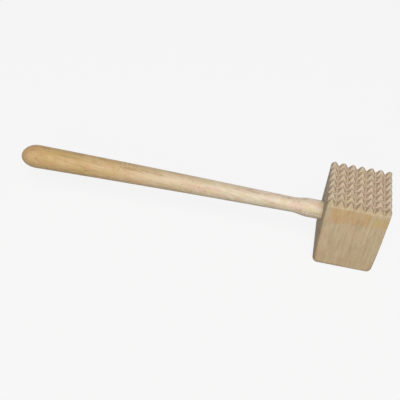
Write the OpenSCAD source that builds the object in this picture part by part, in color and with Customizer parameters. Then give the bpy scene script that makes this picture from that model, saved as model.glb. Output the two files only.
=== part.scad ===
// Wooden meat mallet.
// A square wooden head, toothed on top and smooth below, sits on a turned handle.
// The handle's round tenon runs right through the head, where a wedge spreads its end.
// Origin: centre of the smooth striking face. +Z points to the teeth, -X along the handle.

/* [Head] */
// Width of the head, measured along the handle
head_w = 55; // [40:1:80]
// Depth of the head, measured across the handle
head_d = 56; // [40:1:80]
// Height of the head, from the smooth face to the tips of the teeth
head_h = 81; // [66:1:110]
// Radius of the round-over along the edges of the smooth face
face_round = 5; // [1:0.5:8]
// Radius that eases the four upright edges
upright_round = 2; // [0.4:0.2:4]

/* [Teeth] */
// Distance from one tooth to the next, both along and across the handle
tooth_pitch = 8.3; // [5:0.1:14]
// Distance from the handle's side of the head to the first tips
first_tip_x = 3.2; // [0:0.1:7]
// Distance from the front of the head to the first tips
first_tip_y = 4; // [0:0.1:7]
// Opening angle of the V-shaped grooves
groove_angle = 60; // [50:1:110]
// Radius of the rounded floor of the grooves
groove_round = 1; // [0.2:0.1:1.6]
// Width of the flat left on the tip of each tooth
tip_flat = 0.8; // [0.2:0.1:1.5]

/* [Handle] */
// Length of the handle outside the head
handle_l = 289; // [150:1:450]
// Largest diameter of the handle, where the domed butt begins
grip_d = 22.2; // [16:0.1:30]
// Smallest diameter of the handle, at the neck
neck_d = 14; // [10:0.1:17]
// Length of the straight collar that stands out of the head
collar_l = 13; // [4:0.5:25]
// Length of the curved shoulder between the collar and the neck
shoulder_l = 14.5; // [8:0.5:30]
// Length of the domed butt
butt_l = 15.5; // [6:0.5:20]

/* [Wedged tenon] */
// Height of the handle's axis above the smooth face
handle_z = 43; // [28:0.5:52]
// Diameter of the hole drilled through the head
bore_d = 17.6; // [15:0.1:22]
// Glue gap on each side of the tenon and of the wedge
glue_gap = 0.05; // [0.02:0.01:0.2]
// Length of the wedge
wedge_l = 26; // [12:1:34]
// Thickness of the wedge at its driven end
wedge_t = 3; // [2:0.1:5]
// Thickness of the wedge at its thin end
wedge_tip_t = 0.8; // [0.4:0.1:1.6]
// Depth of the saw kerf beyond the thin end of the wedge
kerf_spare = 2; // [0.5:0.5:6]

/* [Hidden] */
$fn = 96;

// Steps along each curve of the turned outline
curve_steps = 16;
// How far a cutter reaches past what it cuts
overcut = 1;

near_x = -head_w / 2;
far_x = head_w / 2;
front_y = -head_d / 2;

// How far the rounded floor of a groove lies above the point where its flanks would meet
floor_lift = groove_round * (1 / sin(groove_angle / 2) - 1);
tooth_h = (tooth_pitch - tip_flat) / 2 / tan(groove_angle / 2) - floor_lift;
tenon_r = bore_d / 2 - glue_gap;
neck_r = neck_d / 2;
grip_r = grip_d / 2;
grip_at = handle_l - butt_l;

head_colour = [0.72, 0.64, 0.52];
handle_colour = [0.83, 0.73, 0.58];
wedge_colour = [0.58, 0.42, 0.27];

// Rectangle with all four corners rounded, centred
module rounded_plan(w, d, r) {
    square([w - 2 * r, d], center = true);
    square([w, d - 2 * r], center = true);
    for (sx = [-1, 1], sy = [-1, 1])
        translate([sx * (w / 2 - r), sy * (d / 2 - r)])
            circle(r);
}

// Upright rectangle standing on the X axis, with its two lower corners rounded
module round_footed(w, h, r) {
    translate([-w / 2, r])
        square([w, h - r]);
    translate([-w / 2 + r, 0])
        square([w - 2 * r, h]);
    for (sx = [-1, 1])
        translate([sx * (w / 2 - r), r])
            circle(r);
}

// Turns an outline drawn in X and Z into a prism along Y, centred on Y = 0
module along_y(length) {
    rotate([90, 0, 0])
        linear_extrude(length, center = true)
            children();
}

// Block of the head before the teeth are cut
module head_form() {
    intersection() {
        linear_extrude(head_h)
            rounded_plan(head_w, head_d, upright_round);
        along_y(head_d + 2 * overcut)
            round_footed(head_w, head_h, face_round);
        rotate([0, 0, 90])
            along_y(head_w + 2 * overcut)
                round_footed(head_d, head_h, face_round);
    }
}

// Outline of a groove with its tips' height at 0: two flanks that run into a rounded floor
module groove_outline() {
    floor_z = groove_round - tooth_h;
    half_open = (tooth_h + floor_lift + overcut) * tan(groove_angle / 2);
    half_floor = groove_round * cos(groove_angle / 2);
    flank_z = floor_z - groove_round * sin(groove_angle / 2);
    polygon([
        [-half_open, overcut],
        [-half_floor, flank_z],
        [half_floor, flank_z],
        [half_open, overcut]
    ]);
    translate([0, floor_z])
        circle(groove_round);
}

// Grooves that run along Y, halfway between tips that start at X = first_tip
module grooves(first_tip, across, length) {
    for (k = [0 : ceil(across / tooth_pitch)])
        translate([first_tip + (k - 0.5) * tooth_pitch, 0, head_h])
            along_y(length + 2 * overcut)
                groove_outline();
}

// Round bar along X at the height of the handle
module bar_along_x(r, from_x, to_x) {
    translate([from_x, 0, handle_z])
        rotate([0, 90, 0])
            cylinder(h = to_x - from_x, r = r);
}

// Half thickness of the wedge at a distance from its driven end
function wedge_half(s) = (wedge_t + (wedge_tip_t - wedge_t) * s / wedge_l) / 2;

// Prism of the wedge from a distance before its driven end to its thin end, grown by a gap
module wedge_form(before, gap) {
    thick = wedge_half(-before) + gap;
    thin = wedge_half(wedge_l) + gap;
    thick_x = far_x + before;
    thin_x = far_x - wedge_l;
    translate([0, 0, handle_z])
        along_y(bore_d + 2 * overcut)
            polygon([[thick_x, thick], [thin_x, thin], [thin_x, -thin], [thick_x, -thick]]);
}

// Slot that the saw leaves beyond the thin end of the wedge
module kerf_end() {
    width = wedge_tip_t + 2 * glue_gap;
    translate([far_x - wedge_l - kerf_spare, 0, handle_z - width / 2])
        along_y(bore_d + 2 * overcut)
            square([kerf_spare + overcut, width]);
}

// Points of the turned outline are radius and distance from the head's near face.
// Point on the shoulder, with u from 0 at the collar to 1 at the neck
function shoulder_point(u) = [
    tenon_r + (neck_r - tenon_r) * (1 - cos(180 * u)) / 2,
    collar_l + shoulder_l * u
];

// Point on the domed butt, with u from 0 at the grip to 1 at the end of the handle
function butt_point(u) = [grip_r * cos(90 * u), grip_at + butt_l * sin(90 * u)];

// Whole outline: tenon and collar, shoulder, straight taper and butt
function handle_outline() = concat(
    [[0, -head_w], [tenon_r, -head_w]],
    [for (i = [0 : curve_steps]) shoulder_point(i / curve_steps)],
    [for (i = [0 : curve_steps]) butt_point(i / curve_steps)]
);

// Square head with a smooth face below and teeth above
module head_block() {
    color(head_colour)
        difference() {
            head_form();
            grooves(near_x + first_tip_x, head_w, head_d);
            rotate([0, 0, 90])
                grooves(front_y + first_tip_y, head_d, head_w);
            bar_along_x(bore_d / 2, near_x - overcut, far_x + overcut);
        }
}

// Turned handle with its tenon, sawn for the wedge
module handle() {
    color(handle_colour)
        difference() {
            translate([near_x, 0, handle_z])
                rotate([0, -90, 0])
                    rotate_extrude()
                        polygon(handle_outline());
            wedge_form(overcut, glue_gap);
            kerf_end();
        }
}

// Wedge that spreads the end of the tenon up and down, along the grain of the head
module tenon_wedge() {
    color(wedge_colour)
        intersection() {
            bar_along_x(tenon_r, far_x - wedge_l, far_x);
            wedge_form(0, 0);
        }
}

head_block();
handle();
tenon_wedge();
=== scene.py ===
"""Looks of a wooden meat mallet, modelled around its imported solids.

A square beech head has V-cut teeth above and a smooth face below. A turned beech handle runs
through it on a round tenon, which a hardwood wedge spreads at the far side. Lengths are in
metres in the part's own frame: the smooth face is at Z = 0 and the handle points along -X.
Sizes inside the wood finishes are in millimetres, as a maker gives them.
"""

import logging
import math
import random
from dataclasses import dataclass
from enum import Enum
from typing import Any, Callable, ClassVar, Sequence

import bpy
import numpy as np
from mathutils import Matrix, Vector


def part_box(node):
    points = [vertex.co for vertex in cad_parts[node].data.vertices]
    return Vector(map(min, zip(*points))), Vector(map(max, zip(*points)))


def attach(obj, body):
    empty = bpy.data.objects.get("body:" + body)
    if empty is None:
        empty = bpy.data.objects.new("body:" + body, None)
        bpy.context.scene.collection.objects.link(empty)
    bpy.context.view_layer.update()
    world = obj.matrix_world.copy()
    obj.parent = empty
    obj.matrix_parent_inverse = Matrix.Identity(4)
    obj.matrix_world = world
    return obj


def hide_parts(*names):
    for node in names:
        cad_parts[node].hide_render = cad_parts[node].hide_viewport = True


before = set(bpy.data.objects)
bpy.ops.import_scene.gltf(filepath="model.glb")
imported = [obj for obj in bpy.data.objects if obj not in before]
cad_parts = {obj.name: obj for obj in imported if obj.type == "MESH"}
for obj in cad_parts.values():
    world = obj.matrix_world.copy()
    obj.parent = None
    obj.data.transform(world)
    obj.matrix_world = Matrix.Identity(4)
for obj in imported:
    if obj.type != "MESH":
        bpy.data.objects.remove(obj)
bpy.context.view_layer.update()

LOG = logging.getLogger("mallet")
MM = 0.001
ONE_BODY = "root"
NOISE_ROUGHNESS = 0.55

Colour = tuple[float, float, float, float]
Triple = tuple[float, float, float]
Pair = tuple[float, float]
Points = Sequence[Sequence[float]]
Faces = Sequence[Sequence[int]]
Grid = np.ndarray


def srgb(red: int, green: int, blue: int) -> Colour:
    """Turns a colour as a screen shows it into the linear values that shaders take.

    Args:
        red: Red part, from 0 to 255.
        green: Green part, from 0 to 255.
        blue: Blue part, from 0 to 255.

    Returns:
        Linear red, green and blue, with an alpha of 1.
    """
    parts = [part / 255 for part in (red, green, blue)]
    linear = [p / 12.92 if p <= 0.04045 else ((p + 0.055) / 1.055) ** 2.4 for p in parts]
    return (linear[0], linear[1], linear[2], 1.0)


class Slot(Enum):
    """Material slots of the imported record."""

    HEAD = "head_beech"
    HANDLE = "handle_beech"
    WEDGE = "wedge_hardwood"


class Grain(Enum):
    """Direction of the grain, as the axes across it and the one along it."""

    UPRIGHT = ("X", "Y", "Z")
    LENGTHWISE = ("Y", "Z", "X")


class Layer(Enum):
    """Layers of noise in a wood, as the shift that makes each differ from the others."""

    FIBRE = 1
    STREAK = 2
    MOTTLE = 3
    BLUSH = 4
    SWAY = 5
    SUN = 6
    RING_BREAK = 7
    PATCH = 8
    RING_DRIFT = 9
    COLUMN = 31


class Sock:
    """Output socket of a node, whose arithmetic adds Math nodes to its graph."""

    def __init__(self, graph: "Graph", socket: bpy.types.NodeSocket) -> None:
        """Keeps the socket and the graph that it belongs to."""
        self.graph = graph
        self.socket = socket

    def out(self, name: str) -> "Sock":
        """Another output of the same node."""
        return Sock(self.graph, self.socket.node.outputs[name])

    def __add__(self, other: "Value") -> "Sock":
        """Sum with a value."""
        return self.graph.math("ADD", self, other)

    def __radd__(self, other: "Value") -> "Sock":
        """Sum with a value on the left."""
        return self.graph.math("ADD", other, self)

    def __sub__(self, other: "Value") -> "Sock":
        """Difference from a value."""
        return self.graph.math("SUBTRACT", self, other)

    def __rsub__(self, other: "Value") -> "Sock":
        """Difference of a value on the left."""
        return self.graph.math("SUBTRACT", other, self)

    def __mul__(self, other: "Value") -> "Sock":
        """Product with a value."""
        return self.graph.math("MULTIPLY", self, other)

    def __rmul__(self, other: "Value") -> "Sock":
        """Product with a value on the left."""
        return self.graph.math("MULTIPLY", other, self)

    def __truediv__(self, other: "Value") -> "Sock":
        """Quotient by a value."""
        return self.graph.math("DIVIDE", self, other)

    def __rtruediv__(self, other: "Value") -> "Sock":
        """Quotient of a value on the left."""
        return self.graph.math("DIVIDE", other, self)

    def __pow__(self, other: "Value") -> "Sock":
        """Power with a value as the exponent."""
        return self.graph.math("POWER", self, other)

    def __rpow__(self, other: "Value") -> "Sock":
        """Power with a value on the left as the base."""
        return self.graph.math("POWER", other, self)


Value = Sock | float


class Graph:
    """Node tree of a material or of the world."""

    def __init__(self, tree: bpy.types.NodeTree) -> None:
        """Takes over a node tree and empties it."""
        tree.nodes.clear()
        self.tree = tree

    def node(
        self,
        kind: str,
        settings: dict[str, Any] | None = None,
        inputs: dict[int | str, Any] | None = None,
        output: int | str = 0,
    ) -> Sock:
        """Adds a node.

        Args:
            kind: Type of the node.
            settings: Properties that are set first, with a ramp's stops under "stops".
            inputs: Values or links of its sockets, by index or by name.
            output: Output that is wanted, by index or by name.

        Returns:
            The wanted output. Its node's other outputs are reached through it. A node without outputs
            gives its first input.
        """
        made = self.tree.nodes.new(kind)
        for name, value in (settings or {}).items():
            if name == "stops":
                self._set_stops(made.color_ramp, value)
            else:
                setattr(made, name, value)
        for key, value in (inputs or {}).items():
            if isinstance(value, Sock):
                self.tree.links.new(value.socket, made.inputs[key])
            else:
                made.inputs[key].default_value = value
        return Sock(self, made.outputs[output] if len(made.outputs) else made.inputs[0])

    @staticmethod
    def _set_stops(ramp: bpy.types.ColorRamp, stops: Sequence[tuple[float, Colour]]) -> None:
        """Gives a ramp its stops.

        Args:
            ramp: Ramp with the two stops that it is made with.
            stops: Place and colour of each stop, in rising order.
        """
        ramp.elements.remove(ramp.elements[1])
        for index, (place, colour) in enumerate(stops):
            stop = ramp.elements.new(place) if index else ramp.elements[0]
            stop.position = place
            stop.color = colour

    def math(self, operation: str, *values: Value) -> Sock:
        """Math node of one operation on one or two values."""
        return self.node("ShaderNodeMath", {"operation": operation}, dict(enumerate(values)))

    def vector(self, operation: str, *values: Sock | Triple) -> Sock:
        """Vector Math node of one operation on vectors."""
        return self.node("ShaderNodeVectorMath", {"operation": operation}, dict(enumerate(values)))

    def mix(
        self,
        factor: Value,
        first: Sock | Colour,
        second: Sock | Colour,
        blend: str = "MIX",
    ) -> Sock:
        """Mixes two colours.

        Args:
            factor: Share of the second colour.
            first: Colour at a factor of 0.
            second: Colour at a factor of 1.
            blend: How the second colour goes over the first.

        Returns:
            The mixed colour.
        """
        settings = {"data_type": "RGBA", "blend_type": blend, "clamp_factor": True}
        # A Mix node has its colours on sockets 6 and 7 and the mixed colour on output 2
        return self.node("ShaderNodeMix", settings, {0: factor, 6: first, 7: second}, 2)

    def step(self, value: Value, low: float, high: float) -> Sock:
        """Smooth step of a value, from 0 at the low end to 1 at the high end.

        Args:
            value: Value that is stepped.
            low: Value at which the step starts.
            high: Value at which the step ends.

        Returns:
            A value from 0 to 1.
        """
        inputs = {"Value": value, "From Min": low, "From Max": high}
        return self.node("ShaderNodeMapRange", {"interpolation_type": "SMOOTHSTEP"}, inputs)

    def noise(self, place: Sock, size: Pair | Triple, detail: float, salt: float) -> Sock:
        """Noise whose features have a given size.

        Args:
            place: Place as a vector.
            size: Length of the features across the grain and along it, or along three axes.
            detail: Number of finer layers.
            salt: Shift that makes this noise differ from others.

        Returns:
            Noise about a half, with a colour output beside it.
        """
        lengths = (size[0], *size) if len(size) == 2 else size
        scale = tuple(1 / length for length in lengths)
        scaled = self.vector("MULTIPLY_ADD", place, scale, (salt, 2 * salt, 3 * salt))
        inputs = {"Vector": scaled, "Scale": 1.0, "Detail": detail, "Roughness": NOISE_ROUGHNESS}
        return self.node("ShaderNodeTexNoise", None, inputs)


@dataclass(frozen=True)
class WoodFinish:
    """Bare sanded wood, as a solid texture cut from a log.

    Lengths are in millimetres. A size gives the length of features across the grain and along it, or
    along three axes. A span holds the ends of a smooth step, and a share is the strength of a layer.
    """

    grain: Grain
    slot: Slot
    centre: Triple
    pith: Pair
    lean_deg: Triple
    dark: Colour
    middle: Colour
    pale: Colour
    pink: Colour
    straw: Colour
    fleck: Colour
    tone_stops: Triple = (0.15, 0.5, 0.85)
    sway_size: Triple = (60.0, 60.0, 60.0)
    sway: float = 5.0
    ring_gap: float = 3.0
    ring_run: float = 9.0
    ring_drift_size: Triple = (14.0, 40.0, 220.0)
    ring_drift: float = 1.6
    late_wood_span: Pair = (0.25, 0.8)
    ring_end_span: Pair = (0.85, 1.0)
    ring_break_span: Pair = (0.42, 0.62)
    ring_mean: float = 0.2
    ring_share: float = 0.3
    fibre_size: Pair = (0.5, 14.0)
    fibre_share: float = 0.4
    streak_size: Pair = (1.8, 24.0)
    streak_share: float = 0.25
    mottle_size: Pair = (9.0, 20.0)
    mottle_share: float = 0.4
    blush_size: Pair = (9.0, 16.0)
    pink_span: Pair = (0.46, 0.7)
    pink_share: float = 0.45
    straw_span: Pair = (0.48, 0.72)
    straw_share: float = 0.45
    fleck_size: Triple = (5.0, 0.95, 3.4)
    fleck_span: Pair = (0.16, 0.34)
    patch_size: Triple = (12.0, 9.0, 26.0)
    patch_span: Pair = (0.46, 0.6)
    fleck_share: float = 0.4
    roughness: float = 0.58
    fibre_rough: float = 0.16
    fleck_rough: float = 0.06
    gloss: float = 0.3
    fleck_dent: float = 0.6
    ring_dent: float = 0.3
    bump: float = 0.25
    bump_depth: float = 0.12
    salt: float = 0.0

    def place(self, graph: Graph) -> Sock:
        """Place on the object, in millimetres from the middle of the wood."""
        metres = graph.node("ShaderNodeTexCoord", output="Object")
        return graph.vector("MULTIPLY_ADD", metres, (1 / MM,) * 3, tuple(-x for x in self.centre))

    def log_place(self, graph: Graph, place: Sock) -> Sock:
        """Place in the log that the piece was cut from.

        Args:
            graph: Graph that takes the nodes.
            place: Place on the object.

        Returns:
            Distance from the pith, distance round it and distance along the grain, as a vector.
        """
        lean = tuple(math.radians(angle) for angle in self.lean_deg)
        turn = {"Vector": place, "Rotation": lean}
        leant = graph.node("ShaderNodeVectorRotate", {"rotation_type": "EULER_XYZ"}, turn)
        sway = graph.noise(place, self.sway_size, 1, self.salt + Layer.SWAY.value).out("Color")
        swayed = graph.vector("MULTIPLY_ADD", sway, (self.sway,) * 3, leant)
        split = graph.node("ShaderNodeSeparateXYZ", None, {0: swayed})
        across, over, along = (split.out(axis) for axis in self.grain.value)
        u = across - self.pith[0]
        v = over - self.pith[1]
        radius = (u * u + v * v) ** 0.5
        arc = graph.math("ARCTAN2", v, u) * math.hypot(*self.pith)
        return graph.node("ShaderNodeCombineXYZ", None, {0: radius, 1: arc, 2: along})

    def rings(self, graph: Graph, log: Sock) -> Sock:
        """Growth rings.

        Args:
            graph: Graph that takes the nodes.
            log: Place in the log.

        Returns:
            0 in the early wood of a ring, rising to 1 in its late wood.
        """
        radius = graph.node("ShaderNodeSeparateXYZ", None, {0: log}, "X")
        drift = graph.noise(log, self.ring_drift_size, 1, self.salt + Layer.RING_DRIFT.value)
        turn = graph.math("FRACT", radius / self.ring_gap + drift * self.ring_drift)
        late = graph.step(turn, *self.late_wood_span) * (1 - graph.step(turn, *self.ring_end_span))
        dash = (self.ring_gap, self.ring_run)
        broken = graph.noise(log, dash, 1, self.salt + Layer.RING_BREAK.value)
        return late * graph.step(broken, *self.ring_break_span)

    def flecks(self, graph: Graph, log: Sock) -> Sock:
        """Short dark spindles where the rays of the wood meet the surface.

        Args:
            graph: Graph that takes the nodes.
            log: Place in the log.

        Returns:
            1 inside a fleck and 0 outside.
        """
        scaled = graph.vector("MULTIPLY", log, tuple(1 / length for length in self.fleck_size))
        cells = graph.node("ShaderNodeTexVoronoi", {"feature": "F1"}, {"Vector": scaled, "Scale": 1.0})
        patches = graph.noise(log, self.patch_size, 1, self.salt + Layer.PATCH.value)
        return graph.step(patches, *self.patch_span) * (1 - graph.step(cells, *self.fleck_span))

    def tint(self, graph: Graph, colour: Sock, place: Sock) -> Sock:
        """Changes of colour that belong to one piece only; plain wood has none."""
        return colour

    def material(self) -> bpy.types.Material:
        """Makes the material.

        Returns:
            A material that reads only the place on the object.
        """
        made = bpy.data.materials.new(self.slot.value)
        made.use_nodes = True
        graph = Graph(made.node_tree)
        place = self.place(graph)
        log = self.log_place(graph, place)
        rings = self.rings(graph, log)
        flecks = self.flecks(graph, log)
        fibre, streak, mottle, blush, sun = (
            graph.noise(log, size, detail, self.salt + layer.value)
            for layer, size, detail in (
                (Layer.FIBRE, self.fibre_size, 3),
                (Layer.STREAK, self.streak_size, 2),
                (Layer.MOTTLE, self.mottle_size, 2),
                (Layer.BLUSH, self.blush_size, 1),
                (Layer.SUN, self.blush_size, 1),
            )
        )
        tone = (
            0.5
            - self.ring_share * (rings - self.ring_mean)
            + self.fibre_share * (fibre - 0.5)
            + self.streak_share * (streak - 0.5)
            + self.mottle_share * (mottle - 0.5)
        )
        stops = list(zip(self.tone_stops, (self.dark, self.middle, self.pale)))
        colour = graph.node("ShaderNodeValToRGB", {"stops": stops}, {0: tone})
        colour = graph.mix(self.pink_share * graph.step(blush, *self.pink_span), colour, self.pink)
        colour = graph.mix(self.straw_share * graph.step(sun, *self.straw_span), colour, self.straw)
        colour = graph.mix(self.fleck_share * flecks, colour, self.fleck)
        colour = self.tint(graph, colour, place)
        rough = self.roughness + self.fibre_rough * (fibre - 0.5) + self.fleck_rough * flecks
        height = fibre - self.fleck_dent * flecks - self.ring_dent * rings
        dents = {"Strength": self.bump, "Distance": self.bump_depth * MM, "Height": height}
        normal = graph.node("ShaderNodeBump", None, dents)
        looks = {"Base Color": colour, "Roughness": rough, "Normal": normal}
        looks["Specular IOR Level"] = self.gloss
        shader = graph.node("ShaderNodeBsdfPrincipled", None, looks)
        graph.node("ShaderNodeOutputMaterial", None, {"Surface": shader})
        return made


@dataclass(frozen=True)
class HeadBeech(WoodFinish):
    """Beech of the head, whose colour changes with the height and from side to side.

    A band below the teeth is warmer, apart from the handle's side, and a paler line breaks it. Painted
    shade darkens the wood towards the smooth face, most on the handle's side. The end grain of the
    teeth is paler; painted shade dulls the front row and darkens the groove floors. Heights start at
    the smooth face.
    """

    grain: Grain = Grain.UPRIGHT
    slot: Slot = Slot.HEAD
    centre: Triple = (0.0, 0.0, 40.0)
    pith: Pair = (118.0, 96.0)
    lean_deg: Triple = (0.8, -1.2, 0.0)
    dark: Colour = srgb(180, 154, 118)
    middle: Colour = srgb(215, 194, 159)
    pale: Colour = srgb(234, 218, 184)
    pink: Colour = srgb(219, 187, 162)
    straw: Colour = srgb(218, 198, 154)
    fleck: Colour = srgb(163, 132, 97)
    ring_share: float = 0.12
    fibre_share: float = 0.6
    streak_share: float = 0.38
    fleck_share: float = 0.26
    column_size: Triple = (4.5, 4.5, 90.0)
    column_span: Pair = (0.4, 0.6)
    column_least: float = 0.55
    column_more: float = 0.85
    column_reach: float = 4.0
    band_low: Pair = (57.0, 62.0)
    band_high: Pair = (74.7, 75.7)
    band_left: Pair = (-23.5, -20.5)
    band_break: Pair = (11.5, 13.5)
    band_rise: float = 0.08
    band_drop: float = 3.0
    break_pale: float = 0.8
    band_warm: Colour = (1.02, 0.88, 0.72, 1.0)
    right_warm: Colour = (0.97, 0.9, 0.72, 1.0)
    foot_shade_high: Pair = (10.0, 42.0)
    foot_painted_shade: Colour = (0.93, 0.9, 0.86, 1.0)
    side_shade_left: Pair = (-27.3, -24.5)
    side_shade_high: Pair = (40.0, 62.0)
    side_painted_shade: Colour = (0.76, 0.71, 0.6, 1.0)
    teeth_low: Pair = (74.6, 75.6)
    teeth_pale: Colour = (0.9, 0.92, 1.05, 1.0)
    front_row: Pair = (-25.0, -22.0)
    front_row_painted_shade: Colour = (0.81, 0.81, 0.81, 1.0)
    groove_shade_high: Pair = (76.2, 78.2)
    groove_painted_shade: Colour = (0.91, 0.89, 0.88, 1.0)

    def tint(self, graph: Graph, colour: Sock, place: Sock) -> Sock:
        """Tints the band and the teeth, and paints shade on the foot, the handle's side, the front row
        and the groove floors.

        Args:
            graph: Graph that takes the nodes.
            colour: Colour of the plain wood.
            place: Place on the object.

        Returns:
            The changed colour.
        """
        split = graph.node("ShaderNodeSeparateXYZ", None, {0: place})
        across, over = split.out("X"), split.out("Y")
        height = split.out("Z") + self.centre[2]
        columns = graph.noise(place, self.column_size, 1, self.salt + Layer.COLUMN.value)
        ragged = height - self.band_rise * across + self.column_reach * (columns - 0.5)
        right = graph.step(across, *self.band_break)
        # The paler line is 1 halfway through the break and 0 on both sides
        paler_line = 4 * right * (1 - right)
        band = (
            graph.step(ragged, *self.band_low)
            * (1 - graph.step(height + self.band_drop * right, *self.band_high))
            * graph.step(across, *self.band_left)
            * (1 - self.break_pale * paler_line)
            * (self.column_least + self.column_more * graph.step(columns, *self.column_span))
        )
        band_warm = graph.mix(right, self.band_warm, self.right_warm)
        # Painted shade: the wood is made darker and warmer towards the smooth face
        foot = 1 - graph.step(height, *self.foot_shade_high)
        # Painted shade on the lower part of the head's handle side, below the handle
        side = (1 - graph.step(across, *self.side_shade_left)) * (1 - graph.step(height, *self.side_shade_high))
        behind_front = graph.step(over, *self.front_row)
        teeth = graph.step(height + behind_front, *self.teeth_low)
        # Painted shade: the groove floors between the teeth are darkened where less light reaches them
        groove_shade = behind_front * teeth * (1 - graph.step(height, *self.groove_shade_high))
        # The front row of teeth takes painted shade; the rows behind take the paler tint of their end
        # grain
        teeth_tint_and_shade = graph.mix(behind_front, self.front_row_painted_shade, self.teeth_pale)
        for mask, shade in (
            (band, band_warm),
            (foot, self.foot_painted_shade),
            (side, self.side_painted_shade),
            (groove_shade, self.groove_painted_shade),
            (teeth, teeth_tint_and_shade),
        ):
            colour = graph.mix(mask, colour, shade, "MULTIPLY")
        return colour


@dataclass(frozen=True)
class HandleBeech(WoodFinish):
    """Beech of the handle, which hands have warmed towards the grip."""

    grain: Grain = Grain.LENGTHWISE
    slot: Slot = Slot.HANDLE
    centre: Triple = (-140.0, 0.0, 42.5)
    pith: Pair = (50.0, -60.0)
    lean_deg: Triple = (0.0, -5.0, 5.0)
    dark: Colour = srgb(192, 170, 139)
    middle: Colour = srgb(229, 214, 190)
    pale: Colour = srgb(242, 229, 209)
    pink: Colour = srgb(231, 200, 181)
    straw: Colour = srgb(223, 209, 170)
    fleck: Colour = srgb(164, 128, 92)
    ring_run: float = 30.0
    ring_share: float = 0.2
    fibre_share: float = 0.55
    streak_size: Pair = (1.6, 30.0)
    streak_share: float = 0.9
    mottle_size: Pair = (4.5, 10.0)
    mottle_share: float = 0.7
    blush_size: Pair = (6.0, 11.0)
    pink_share: float = 0.75
    straw_share: float = 0.75
    fleck_share: float = 0.6
    roughness: float = 0.46
    salt: float = 50.0
    grip_to_neck: Pair = (-285.0, -70.0)
    grip_tint: Colour = (0.83, 0.67, 0.42, 1.0)

    def tint(self, graph: Graph, colour: Sock, place: Sock) -> Sock:
        """Deepens the colour from the neck towards the butt.

        Args:
            graph: Graph that takes the nodes.
            colour: Colour of the plain wood.
            place: Place on the object.

        Returns:
            The changed colour.
        """
        along = graph.node("ShaderNodeSeparateXYZ", None, {0: place}, "X") + self.centre[0]
        grip = 1 - graph.step(along, *self.grip_to_neck)
        return graph.mix(grip, colour, self.grip_tint, "MULTIPLY")


@dataclass(frozen=True)
class WedgeHardwood(WoodFinish):
    """Dark hardwood of the wedge."""

    grain: Grain = Grain.LENGTHWISE
    slot: Slot = Slot.WEDGE
    centre: Triple = (14.5, 0.0, 42.5)
    pith: Pair = (60.0, 40.0)
    lean_deg: Triple = (0.0, 1.0, 0.0)
    dark: Colour = srgb(118, 82, 52)
    middle: Colour = srgb(150, 110, 74)
    pale: Colour = srgb(174, 134, 94)
    pink: Colour = srgb(158, 108, 76)
    straw: Colour = srgb(160, 124, 80)
    fleck: Colour = srgb(104, 70, 44)
    salt: float = 90.0


def new_object(name: str, points: Points, faces: Faces) -> bpy.types.Object:
    """Makes a mesh object in the scene.

    Args:
        name: Name of the object.
        points: Places of the vertices.
        faces: Vertex numbers of each face.

    Returns:
        The object, with smooth shading.
    """
    mesh = bpy.data.meshes.new(name)
    mesh.from_pydata([tuple(point) for point in points], [], faces)
    mesh.validate()
    mesh.shade_smooth()
    made = bpy.data.objects.new(name, mesh)
    bpy.context.scene.collection.objects.link(made)
    return made


def cut_away(piece: bpy.types.Object, cutter: bpy.types.Object) -> None:
    """Cuts one mesh out of another and deletes the cutter.

    Args:
        piece: Piece that is cut.
        cutter: Closed mesh that is taken away.
    """
    cut = piece.modifiers.new("cut", "BOOLEAN")
    cut.operation = "DIFFERENCE"
    cut.solver = "EXACT"
    cut.object = cutter
    graph = bpy.context.evaluated_depsgraph_get()
    result = bpy.data.meshes.new_from_object(piece.evaluated_get(graph))
    piece.modifiers.clear()
    piece.data = result
    bpy.data.objects.remove(cutter)


def lathe(
    name: str,
    stations: Sequence[Pair],
    axis_z: float,
    segments: int,
    sway: Callable[[float], Pair] | None = None,
) -> bpy.types.Object:
    """Turns an outline about a line along X.

    Args:
        name: Name of the object.
        stations: X and radius of each ring, with X falling. A radius of 0 makes a point.
        axis_z: Height of the line.
        segments: Number of sides.
        sway: Y and Z shift of the ring at a given X, or nothing for a straight line.

    Returns:
        The closed object.
    """
    points: list[Triple] = []
    rings: list[list[int]] = []
    for x, radius in stations:
        shift = sway(x) if sway else (0.0, 0.0)
        count = segments if radius > 0 else 1
        rings.append(list(range(len(points), len(points) + count)))
        for index in range(count):
            angle = math.tau * index / segments
            y = radius * math.cos(angle) + shift[0]
            points.append((x, y, axis_z + radius * math.sin(angle) + shift[1]))
    faces: list[list[int]] = []
    for first, second in zip(rings, rings[1:]):
        for index in range(segments):
            after = (index + 1) % segments
            if len(second) == 1:
                faces.append([first[index], second[0], first[after]])
            else:
                faces.append([first[index], second[index], second[after], first[after]])
    if len(rings[0]) > 1:
        faces.append(rings[0])
    if len(rings[-1]) > 1:
        faces.append(rings[-1][::-1])
    return new_object(name, points, faces)


@dataclass
class Piece:
    """Sub-assembly that stands for one node, from the node's lowest corner to its highest."""

    low: Vector
    high: Vector
    node: ClassVar[str]
    finish: ClassVar[WoodFinish]
    sharp_deg: ClassVar[float]

    def build(self) -> bpy.types.Object:
        """Models the piece as one closed mesh."""
        raise NotImplementedError

    def dress(self, made: bpy.types.Object) -> None:
        """Finishes the mesh and ties it to the frame.

        Args:
            made: Mesh of the piece. Its edges stay crisp where faces meet at more than sharp_deg.
        """
        made.data.materials.clear()
        made.data.materials.append(self.finish.material())
        made.data.shade_smooth()
        made.data.set_sharp_from_angle(angle=math.radians(self.sharp_deg))
        weighted = made.modifiers.new("weighted", "WEIGHTED_NORMAL")
        weighted.keep_sharp = True
        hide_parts(self.node)
        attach(made, ONE_BODY)


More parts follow.
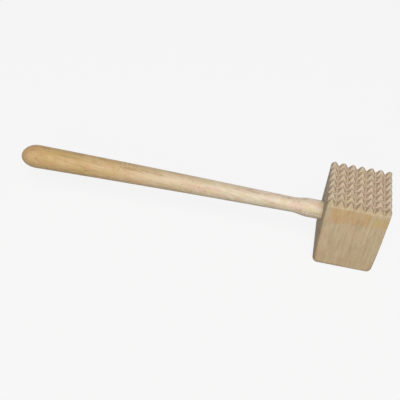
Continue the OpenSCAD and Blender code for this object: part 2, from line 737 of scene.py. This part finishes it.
@dataclass
class HeadBlock(Piece):
    """Square head with teeth above, a smooth face below and a hole for the handle."""

    node: ClassVar[str] = "head_block"
    finish: ClassVar[WoodFinish] = HeadBeech()
    sharp_deg: ClassVar[float] = 70.0
    axis_z: float
    bore_r: float
    tooth_pitch: float = 8.3 * MM
    first_tip: Pair = (3.2 * MM, 4.0 * MM)
    groove_angle_deg: float = 60.0
    groove_round: float = 1.0 * MM
    tip_flat: float = 0.8 * MM
    face_round: float = 5.0 * MM
    face_inset: float = 6.0 * MM
    top_corner: float = 1.2 * MM
    foot_corner: float = 5.0 * MM
    foot_corner_from: float = 45.0 * MM
    rim: float = 0.25 * MM
    wall_from: float = 1.0 * MM
    mouth_ease: float = 0.35 * MM
    drill_out: float = 0.7 * MM
    ridge_round: float = 0.1 * MM
    groove_stray: float = 0.12 * MM
    tip_loss: float = 0.15 * MM
    tip_slant: float = 0.25
    flank_cells: int = 12
    wall_step: float = 5.0 * MM
    round_steps: int = 10
    bore_sides: int = 96
    seed: int = 41

    def __post_init__(self) -> None:
        """Works out the tooth height, the grid and the marks that the cutter left."""
        half_angle = math.radians(self.groove_angle_deg) / 2
        self.slope = 1 / math.tan(half_angle)
        self.flank_from = self.groove_round * math.cos(half_angle)
        self.floor_lift = self.groove_round * (1 / math.sin(half_angle) - 1)
        self.tooth_h = (self.tooth_pitch - self.tip_flat) / 2 * self.slope - self.floor_lift
        self.valley_z = self.high.z - self.tooth_h
        self.half = ((self.high.x - self.low.x) / 2, (self.high.y - self.low.y) / 2)
        self.middle = ((self.high.x + self.low.x) / 2, (self.high.y + self.low.y) / 2)
        draw = random.Random(self.seed)
        self.grooves = [self._stray_grooves(draw, axis) for axis in (0, 1)]
        shape = tuple(len(grooves) - 1 for grooves in self.grooves)
        count = math.prod(shape)
        losses = [self.tip_loss * draw.random() ** 2 for _ in range(count)]
        slants = [self.tip_slant * (2 * draw.random() - 1) for _ in range(2 * count)]
        self.losses = np.array(losses).reshape(shape)
        self.slants = np.array(slants).reshape((2, *shape))
        self.lines = [self._grid_lines(axis) for axis in (0, 1)]
        self.cells = tuple(len(lines) - 1 for lines in self.lines)

    def _stray_grooves(self, draw: random.Random, axis: int) -> list[Pair]:
        """Places and depths of the grooves across one axis.

        Args:
            draw: Source of the small strays.
            axis: 0 for grooves spaced along X and 1 for those along Y.

        Returns:
            Place of each groove on the axis, and how much shallower it is.
        """
        pitch = self.tooth_pitch
        start = self.low[axis] + self.first_tip[axis] - pitch / 2
        count = math.ceil(2 * self.half[axis] / pitch) + 1
        return [
            (
                start + k * pitch + self.groove_stray * (2 * draw.random() - 1),
                self.groove_stray * draw.random(),
            )
            for k in range(count)
        ]

    def _grid_lines(self, axis: int) -> Grid:
        """Lines of the mesh across one axis, in even steps out from each groove.

        Args:
            axis: 0 for lines spaced along X and 1 for those along Y.

        Returns:
            Place of each line, in rising order, with the head's two sides as the outer ones.
        """
        low, high = self.low[axis], self.high[axis]
        step = self.tooth_pitch / 2 / self.flank_cells
        steps = range(-self.flank_cells, self.flank_cells + 1)
        wanted = sorted(place + k * step for place, _ in self.grooves[axis] for k in steps)
        lines = [low]
        for line in wanted:
            if lines[-1] + step / 2 < line < high - step / 2:
                lines.append(line)
        return np.array([*lines, high])

    def _cut(self, axis: int, along: Grid) -> Grid:
        """Height above the valleys that one set of grooves leaves.

        Args:
            axis: 0 for the grooves spaced along X and 1 for those along Y.
            along: Places on that axis.

        Returns:
            Height at each place.
        """
        heights = []
        for place, shallow in self.grooves[axis]:
            off = np.abs(along - place)
            floor = self.groove_round - np.sqrt(np.maximum(self.groove_round**2 - off**2, 0))
            flank = off * self.slope - self.floor_lift
            heights.append(np.where(off < self.flank_from, floor, flank) + shallow)
        return np.min(heights, axis=0)

    @staticmethod
    def _soft_min(first: Grid, second: Grid, width: float) -> Grid:
        """Lower of two heights, with the edge between them rounded over a width."""
        return (first + second - np.sqrt((first - second) ** 2 + width**2)) / 2

    def top_z(self, x: Grid, y: Grid) -> Grid:
        """Height of the toothed face.

        Args:
            x: Places along X.
            y: Places along Y.

        Returns:
            Z at each place, never above the head's own box.
        """
        pyramid = self._soft_min(self._cut(0, x), self._cut(1, y), self.ridge_round)
        across, off_x = self._tooth_at(0, x)
        over, off_y = self._tooth_at(1, y)
        slant_x, slant_y = self.slants[:, across, over]
        cap = self.tooth_h - self.losses[across, over] + slant_x * off_x + slant_y * off_y
        worn = self._soft_min(pyramid, cap, self.ridge_round)
        return self.valley_z + np.clip(worn, 0, self.tooth_h)

    def _tooth_at(self, axis: int, along: Grid) -> tuple[Grid, Grid]:
        """Tooth that each place belongs to.

        Args:
            axis: 0 for places along X and 1 for those along Y.
            along: Places on that axis.

        Returns:
            Number of the tooth, and how far the place is from its tip.
        """
        places = np.array([place for place, _ in self.grooves[axis]])
        tooth = np.clip(np.searchsorted(places, along) - 1, 0, len(places) - 2)
        return tooth, along - (places[tooth] + places[tooth + 1]) / 2

    def plan(self, a: Grid, b: Grid, inset: float, corner: float) -> tuple[Grid, Grid]:
        """Place of a point of a square in the head's outline with rounded corners.

        Args:
            a: Place across the square along X, from -1 to 1.
            b: Place across the square along Y, from -1 to 1.
            inset: How far the outline lies inside the head's sides.
            corner: Radius of its corners.

        Returns:
            X and Y of each point.
        """
        sides = [half - inset for half in self.half]
        px, py = a * sides[0], b * sides[1]
        if corner <= 0:
            return px + self.middle[0], py + self.middle[1]
        u = np.clip((np.abs(px) - (sides[0] - corner)) / corner, 0, 1)
        v = np.clip((np.abs(py) - (sides[1] - corner)) / corner, 0, 1)
        pulled_x = np.abs(px) - corner * u * (1 - np.sqrt(1 - v * v / 2))
        pulled_y = np.abs(py) - corner * v * (1 - np.sqrt(1 - u * u / 2))
        return np.sign(px) * pulled_x + self.middle[0], np.sign(py) * pulled_y + self.middle[1]

    def corner_at(self, z: float) -> float:
        """Radius of the upright edges at a height, which grows towards the foot."""
        share = min(max((self.foot_corner_from - z) / (self.foot_corner_from - self.face_round), 0), 1)
        return self.top_corner + (self.foot_corner - self.top_corner) * share * share

    def build(self) -> bpy.types.Object:
        """Models the head.

        Returns:
            The drilled head as one closed mesh.
        """
        shares = [
            (lines - middle) / half
            for lines, middle, half in zip(self.lines, self.middle, self.half)
        ]
        a, b = np.meshgrid(*shares, indexing="ij")
        x, y = self.plan(a, b, 0.0, self.top_corner)
        rim_x, rim_y = self.plan(a, b, self.rim, self.top_corner)
        on_edge = np.zeros(a.shape, dtype=bool)
        on_edge[[0, -1], :] = True
        on_edge[:, [0, -1]] = True
        x, y = np.where(on_edge, rim_x, x), np.where(on_edge, rim_y, y)
        z = self.top_z(x, y)
        points = np.stack([x.ravel(), y.ravel(), z.ravel()], axis=1).tolist()
        faces = self._top_faces(x, y, z)
        loop = self._edge_loop()
        edge_a, edge_b = a.ravel()[loop], b.ravel()[loop]
        edge_z = z.ravel()[loop] - self.rim
        for inset, level, corner in self._levels():
            loop_x, loop_y = self.plan(edge_a, edge_b, inset, corner)
            loop_z = edge_z if level is None else np.full(len(loop), level)
            below = list(range(len(points), len(points) + len(loop)))
            points += np.stack([loop_x, loop_y, loop_z], axis=1).tolist()
            for index, start in enumerate(loop):
                after = (index + 1) % len(loop)
                faces.append([start, below[index], below[after], loop[after]])
            loop = below
        faces.append(loop[::-1])
        head = new_object("toothed_head", points, faces)
        self._drill(head)
        return head

    def _top_faces(self, x: Grid, y: Grid, z: Grid) -> list[list[int]]:
        """Faces of the toothed top, each split along the diagonal that lies closer to the wood.

        Args:
            x: X of the grid's points.
            y: Y of the grid's points.
            z: Z of the grid's points.

        Returns:
            Vertex numbers of each face.
        """
        row = self.cells[1] + 1
        middle = self.top_z((x[:-1, :-1] + x[1:, 1:]) / 2, (y[:-1, :-1] + y[1:, 1:]) / 2)
        rising = np.abs((z[:-1, :-1] + z[1:, 1:]) / 2 - middle)
        falling = np.abs((z[1:, :-1] + z[:-1, 1:]) / 2 - middle)
        faces = []
        for (i, j), along_rising in np.ndenumerate(rising <= falling):
            first = i * row + j
            p, q, r, s = first, first + row, first + row + 1, first + 1
            faces += [[p, q, r], [p, r, s]] if along_rising else [[p, q, s], [q, r, s]]
        return faces

    def _edge_loop(self) -> list[int]:
        """Edge of the toothed top.

        Returns:
            Vertex numbers in turn round the edge, anticlockwise from above.
        """
        nx, ny = self.cells
        row = ny + 1
        front = [i * row for i in range(nx)]
        right = [nx * row + j for j in range(ny)]
        back = [i * row + ny for i in range(nx, 0, -1)]
        left = list(range(ny, 0, -1))
        return front + right + back + left

    def _levels(self) -> list[tuple[float, float | None, float]]:
        """Loops down the walls and round the foot.

        Returns:
            Inset, height and corner radius of each loop. A height of None follows the teeth.
        """
        start = self.valley_z - self.wall_from
        foot = self.face_round
        steps = round((start - foot) / self.wall_step)
        levels: list[tuple[float, float | None, float]] = [(0.0, None, self.top_corner)]
        for k in range(steps + 1):
            z = start + (foot - start) * k / steps
            levels.append((0.0, z, self.corner_at(z)))
        for k in range(1, self.round_steps + 1):
            angle = math.pi / 2 * k / self.round_steps
            inset = self.face_round * (1 - math.cos(angle))
            z = self.low.z + self.face_round * (1 - math.sin(angle))
            levels.append((inset, z, self.foot_corner - inset))
        levels.append((self.face_inset, self.low.z, 0.0))
        return levels

    def _drill(self, head: bpy.types.Object) -> None:
        """Drills the hole for the handle, with its mouths eased.

        Args:
            head: Head that is drilled.
        """
        wide = self.bore_r + self.mouth_ease + self.drill_out
        stations = [
            (self.high.x + self.drill_out, wide),
            (self.high.x - self.mouth_ease, self.bore_r),
            (self.low.x + self.mouth_ease, self.bore_r),
            (self.low.x - self.drill_out, wide),
        ]
        cut_away(head, lathe("drill", stations, self.axis_z, self.bore_sides))


@dataclass
class TenonWedge(Piece):
    """Wedge driven into the end of the tenon and trimmed flush."""

    node: ClassVar[str] = "tenon_wedge"
    finish: ClassVar[WoodFinish] = WedgeHardwood()
    sharp_deg: ClassVar[float] = 40.0
    tip_t: float = 0.8 * MM
    steps: int = 8
    end_steps: int = 6

    def __post_init__(self) -> None:
        """Works out the length, the thickness and the radius of the tenon."""
        self.length = self.high.x - self.low.x
        self.thick = self.high.z - self.low.z
        self.axis_z = (self.high.z + self.low.z) / 2
        self.tenon_r = (self.high.y - self.low.y) / 2

    def half_t(self, x: float) -> float:
        """Half of the thickness at a place along the wedge."""
        share = (self.high.x - x) / self.length
        return (self.thick + (self.tip_t - self.thick) * share) / 2

    def section(self, x: float) -> list[Triple]:
        """Outline across the wedge, with ends that follow the round tenon.

        Args:
            x: Place along the wedge.

        Returns:
            Points in turn round the outline, seen from the driven end.
        """
        half = self.half_t(x)
        rises = [half * (1 - 2 * k / self.end_steps) for k in range(self.end_steps + 1)]
        ends = [(math.sqrt(self.tenon_r**2 - rise**2), rise) for rise in rises]
        right = [(x, y, self.axis_z + rise) for y, rise in ends]
        left = [(x, -y, self.axis_z + rise) for y, rise in reversed(ends)]
        return right + left

    def build(self) -> bpy.types.Object:
        """Models the wedge.

        Returns:
            The wedge as one closed mesh.
        """
        points: list[Triple] = []
        faces: list[list[int]] = []
        count = 2 * (self.end_steps + 1)
        for step in range(self.steps + 1):
            points += self.section(self.high.x - self.length * step / self.steps)
        for step in range(self.steps):
            for k in range(count):
                first, after = step * count, (k + 1) % count
                faces.append([first + k, first + after, first + count + after, first + count + k])
        faces.append(list(range(count))[::-1])
        faces.append(list(range(self.steps * count, (self.steps + 1) * count)))
        return new_object("tenon_wedge_hardwood", points, faces)


@dataclass
class TurnedHandle(Piece):
    """Handle turned in one piece: tenon, collar, shoulder, straight taper and domed butt."""

    node: ClassVar[str] = "handle"
    finish: ClassVar[WoodFinish] = HandleBeech()
    sharp_deg: ClassVar[float] = 50.0
    near_x: float
    wedge: TenonWedge
    neck_r: float = 7.0 * MM
    collar_l: float = 13.0 * MM
    shoulder_l: float = 14.5 * MM
    butt_l: float = 15.5 * MM
    glue_gap: float = 0.05 * MM
    kerf_spare: float = 2.0 * MM
    bow: float = 0.63 * MM
    droop: float = 0.76 * MM
    bow_angle_deg: float = 45.4
    sides: int = 96
    curve_steps: int = 18
    butt_steps: int = 26
    taper_steps: int = 56
    plain_steps: int = 5

    def __post_init__(self) -> None:
        """Works out the radii and the places along the handle."""
        self.axis_z = (self.low.z + self.high.z) / 2
        self.grip_r = (self.high.z - self.low.z) / 2
        self.tenon_r = self.wedge.tenon_r
        self.shoulder_x = self.near_x - self.collar_l
        self.neck_x = self.shoulder_x - self.shoulder_l
        self.grip_x = self.low.x + self.butt_l

    def sway(self, x: float) -> Pair:
        """Slight bow of the handle, with its domed end a little low.

        Args:
            x: Place along the handle.

        Returns:
            Y and Z shift of the ring there.
        """
        share = min(max((self.near_x - x) / (self.near_x - self.low.x), 0), 1)
        end = max((self.grip_x - x) / self.butt_l, 0)
        lift = self.bow * math.sin(math.pi * share) - self.droop * end * end
        angle = math.radians(self.bow_angle_deg)
        return lift * math.cos(angle), lift * math.sin(angle)

    def stations(self) -> list[Pair]:
        """Outline of the handle.

        Returns:
            X and radius of each ring, from the tenon's end to the butt.
        """
        found = []
        for start, end, count in (
            (self.high.x, self.near_x, self.plain_steps),
            (self.near_x, self.shoulder_x, self.plain_steps),
        ):
            found += [(start + (end - start) * k / count, self.tenon_r) for k in range(count)]
        for k in range(self.curve_steps):
            u = k / self.curve_steps
            fall = (1 - math.cos(math.pi * u)) / 2
            radius = self.tenon_r + (self.neck_r - self.tenon_r) * fall
            found.append((self.shoulder_x - self.shoulder_l * u, radius))
        for k in range(self.taper_steps):
            u = k / self.taper_steps
            radius = self.neck_r + (self.grip_r - self.neck_r) * u
            found.append((self.neck_x + (self.grip_x - self.neck_x) * u, radius))
        for k in range(self.butt_steps):
            angle = math.pi / 2 * k / self.butt_steps
            radius = self.grip_r * math.cos(angle)
            found.append((self.grip_x - self.butt_l * math.sin(angle), radius))
        return [*found, (self.low.x, 0.0)]

    def build(self) -> bpy.types.Object:
        """Models the handle.

        Returns:
            The handle as one closed mesh, with the saw kerf that holds the wedge.
        """
        handle = lathe("turned_handle", self.stations(), self.axis_z, self.sides, self.sway)
        self._saw(handle)
        return handle

    def _saw(self, handle: bpy.types.Object) -> None:
        """Saws the kerf for the wedge into the end of the tenon.

        Args:
            handle: Handle that is sawn.
        """
        wide = self.tenon_r + self.kerf_spare
        mouth_x, tip_x = self.high.x + self.kerf_spare, self.wedge.low.x
        tip_half = self.wedge.half_t(tip_x) + self.glue_gap
        outline = [
            (mouth_x, self.wedge.half_t(mouth_x) + self.glue_gap),
            (tip_x, tip_half),
            (tip_x - self.kerf_spare, tip_half),
        ]
        loop = outline + [(x, -half) for x, half in reversed(outline)]
        count = len(loop)
        points = [(x, side * wide, self.axis_z + rise) for side in (-1, 1) for x, rise in loop]
        faces = [[k, k + count, (k + 1) % count + count, (k + 1) % count] for k in range(count)]
        faces += [list(range(count)), list(range(count, 2 * count))[::-1]]
        cut_away(handle, new_object("saw", points, faces))


def direction(azimuth_deg: float, elevation_deg: float) -> Vector:
    """Direction out from the object.

    Args:
        azimuth_deg: Side, from 0 in front to 90 on the head's far side.
        elevation_deg: Angle above the floor.

    Returns:
        A vector of length 1.
    """
    azimuth, elevation = math.radians(azimuth_deg), math.radians(elevation_deg)
    flat = math.cos(elevation)
    return Vector((math.sin(azimuth) * flat, -math.cos(azimuth) * flat, math.sin(elevation)))


@dataclass(frozen=True)
class PhotoCamera:
    """Camera at the photograph's viewing angle."""

    place: Triple = (-0.079584, -0.463272, 0.486888)
    azimuth_deg: float = 7.5755
    elevation_deg: float = 44.5777
    roll_deg: float = 5.4445
    lens_mm: float = 62.011
    sensor_mm: float = 36.0
    clip_start: float = 10.0 * MM

    def build(self) -> None:
        """Adds the camera and makes it the scene's own."""
        roll = math.radians(self.roll_deg)
        back = direction(self.azimuth_deg, self.elevation_deg)
        level = Vector((0, 0, 1)).cross(back).normalized()
        upright = back.cross(level)
        right = math.cos(roll) * level + math.sin(roll) * upright
        up = math.cos(roll) * upright - math.sin(roll) * level
        lens = bpy.data.cameras.new("photo_camera")
        lens.sensor_width = self.sensor_mm
        lens.lens = self.lens_mm
        lens.clip_start = self.clip_start
        camera = bpy.data.objects.new("photo_camera", lens)
        turn = Matrix((right, up, back)).transposed().to_4x4()
        camera.matrix_world = Matrix.Translation(self.place) @ turn
        bpy.context.scene.collection.objects.link(camera)
        bpy.context.scene.camera = camera


@dataclass(frozen=True)
class SoftLamp:
    """Round soft lamp that faces the object from a given side and height."""

    name: str
    azimuth_deg: float
    elevation_deg: float
    size: float
    power: float
    colour: Triple = (1.0, 0.98, 0.95)
    away: float = 1.6

    def build(self, aim: Vector) -> None:
        """Adds the lamp, turned towards a place.

        Args:
            aim: Place that the lamp faces.
        """
        light = bpy.data.lights.new(self.name, "AREA")
        light.shape = "DISK"
        light.size = self.size
        light.energy = self.power
        light.color = self.colour
        towards = direction(self.azimuth_deg, self.elevation_deg)
        lamp = bpy.data.objects.new(self.name, light)
        lamp.location = aim + towards * self.away
        lamp.rotation_euler = towards.to_track_quat("Z", "Y").to_euler()
        bpy.context.scene.collection.objects.link(lamp)


@dataclass(frozen=True)
class Studio:
    """Pale floor, faint light from all round, soft lamps in front and a weaker one behind."""

    aim: Triple = (-0.1, 0.0, 0.04)
    lamps: tuple[SoftLamp, ...] = (
        SoftLamp("key_lamp", azimuth_deg=7.0, elevation_deg=60.0, size=0.8, power=17.6),
        SoftLamp("fill_lamp", azimuth_deg=-2.0, elevation_deg=28.0, size=0.5, power=6.4),
        SoftLamp("back_lamp", azimuth_deg=172.0, elevation_deg=8.0, size=0.8, power=4.5),
    )
    world_colour: Colour = (0.96, 1.02, 1.02, 1.0)
    world_light: float = 0.05
    backdrop: float = 0.87
    floor_glow: float = 0.8
    floor_light: float = 1.1
    floor_colour: Colour = (0.3, 0.3, 0.3, 1.0)
    floor_z: float = -0.2 * MM
    floor_half: float = 6.0

    @staticmethod
    def _seen(graph: Graph) -> Sock:
        """Rays that show what they meet.

        Args:
            graph: Graph that takes the nodes.

        Returns:
            1 for camera, glossy and transmission rays, and 0 for the others.
        """
        path = graph.node("ShaderNodeLightPath", output="Is Camera Ray")
        shown = path + path.out("Is Glossy Ray") + path.out("Is Transmission Ray")
        return graph.math("MINIMUM", shown, 1.0)

    def build(self) -> None:
        """Adds the lamps, the world and the floor."""
        bpy.context.scene.view_settings.view_transform = "Standard"
        for lamp in self.lamps:
            lamp.build(Vector(self.aim))
        self._world()
        self._floor()

    def _world(self) -> None:
        """Lights the scene from all round and shows a pale backdrop."""
        world = bpy.data.worlds.new("studio")
        world.use_nodes = True
        bpy.context.scene.world = world
        graph = Graph(world.node_tree)
        pale = (self.backdrop,) * 3 + (1.0,)
        shown = graph.node("ShaderNodeBackground", None, {"Color": pale, "Strength": 1.0})
        lit = graph.node(
            "ShaderNodeBackground", None, {"Color": self.world_colour, "Strength": self.world_light}
        )
        both = graph.node("ShaderNodeMixShader", None, {0: self._seen(graph), 1: lit, 2: shown})
        graph.node("ShaderNodeOutputWorld", None, {"Surface": both})

    def _floor(self) -> None:
        """Lays the floor, which glows to the camera and still takes a faint shadow."""
        half = self.floor_half
        corners = [(-half, -half), (half, -half), (half, half), (-half, half)]
        floor = new_object("floor", [(x, y, self.floor_z) for x, y in corners], [[0, 1, 2, 3]])
        made = bpy.data.materials.new("pale_floor")
        made.use_nodes = True
        graph = Graph(made.node_tree)
        plain = graph.node("ShaderNodeBsdfDiffuse", None, {"Color": self.floor_colour})
        glow = graph.node("ShaderNodeEmission", None, {"Strength": self.floor_light})
        share = self.floor_glow * self._seen(graph)
        both = graph.node("ShaderNodeMixShader", None, {0: share, 1: plain, 2: glow})
        graph.node("ShaderNodeOutputMaterial", None, {"Surface": both})
        floor.data.materials.append(made)


def main() -> None:
    """Builds the mallet and its studio around the frame."""
    logging.basicConfig(level=logging.INFO, format="%(message)s")
    PhotoCamera().build()
    Studio().build()
    head_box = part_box("head_block")
    wedge = TenonWedge(*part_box("tenon_wedge"))
    handle = TurnedHandle(*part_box("handle"), near_x=head_box[0].x, wedge=wedge)
    head = HeadBlock(*head_box, axis_z=handle.axis_z, bore_r=handle.tenon_r + handle.glue_gap)
    for piece in (head, handle, wedge):
        made = piece.build()
        piece.dress(made)
        LOG.info("%s stands for %s, %d faces", made.name, piece.node, len(made.data.polygons))


if __name__ == "__main__":
    main()
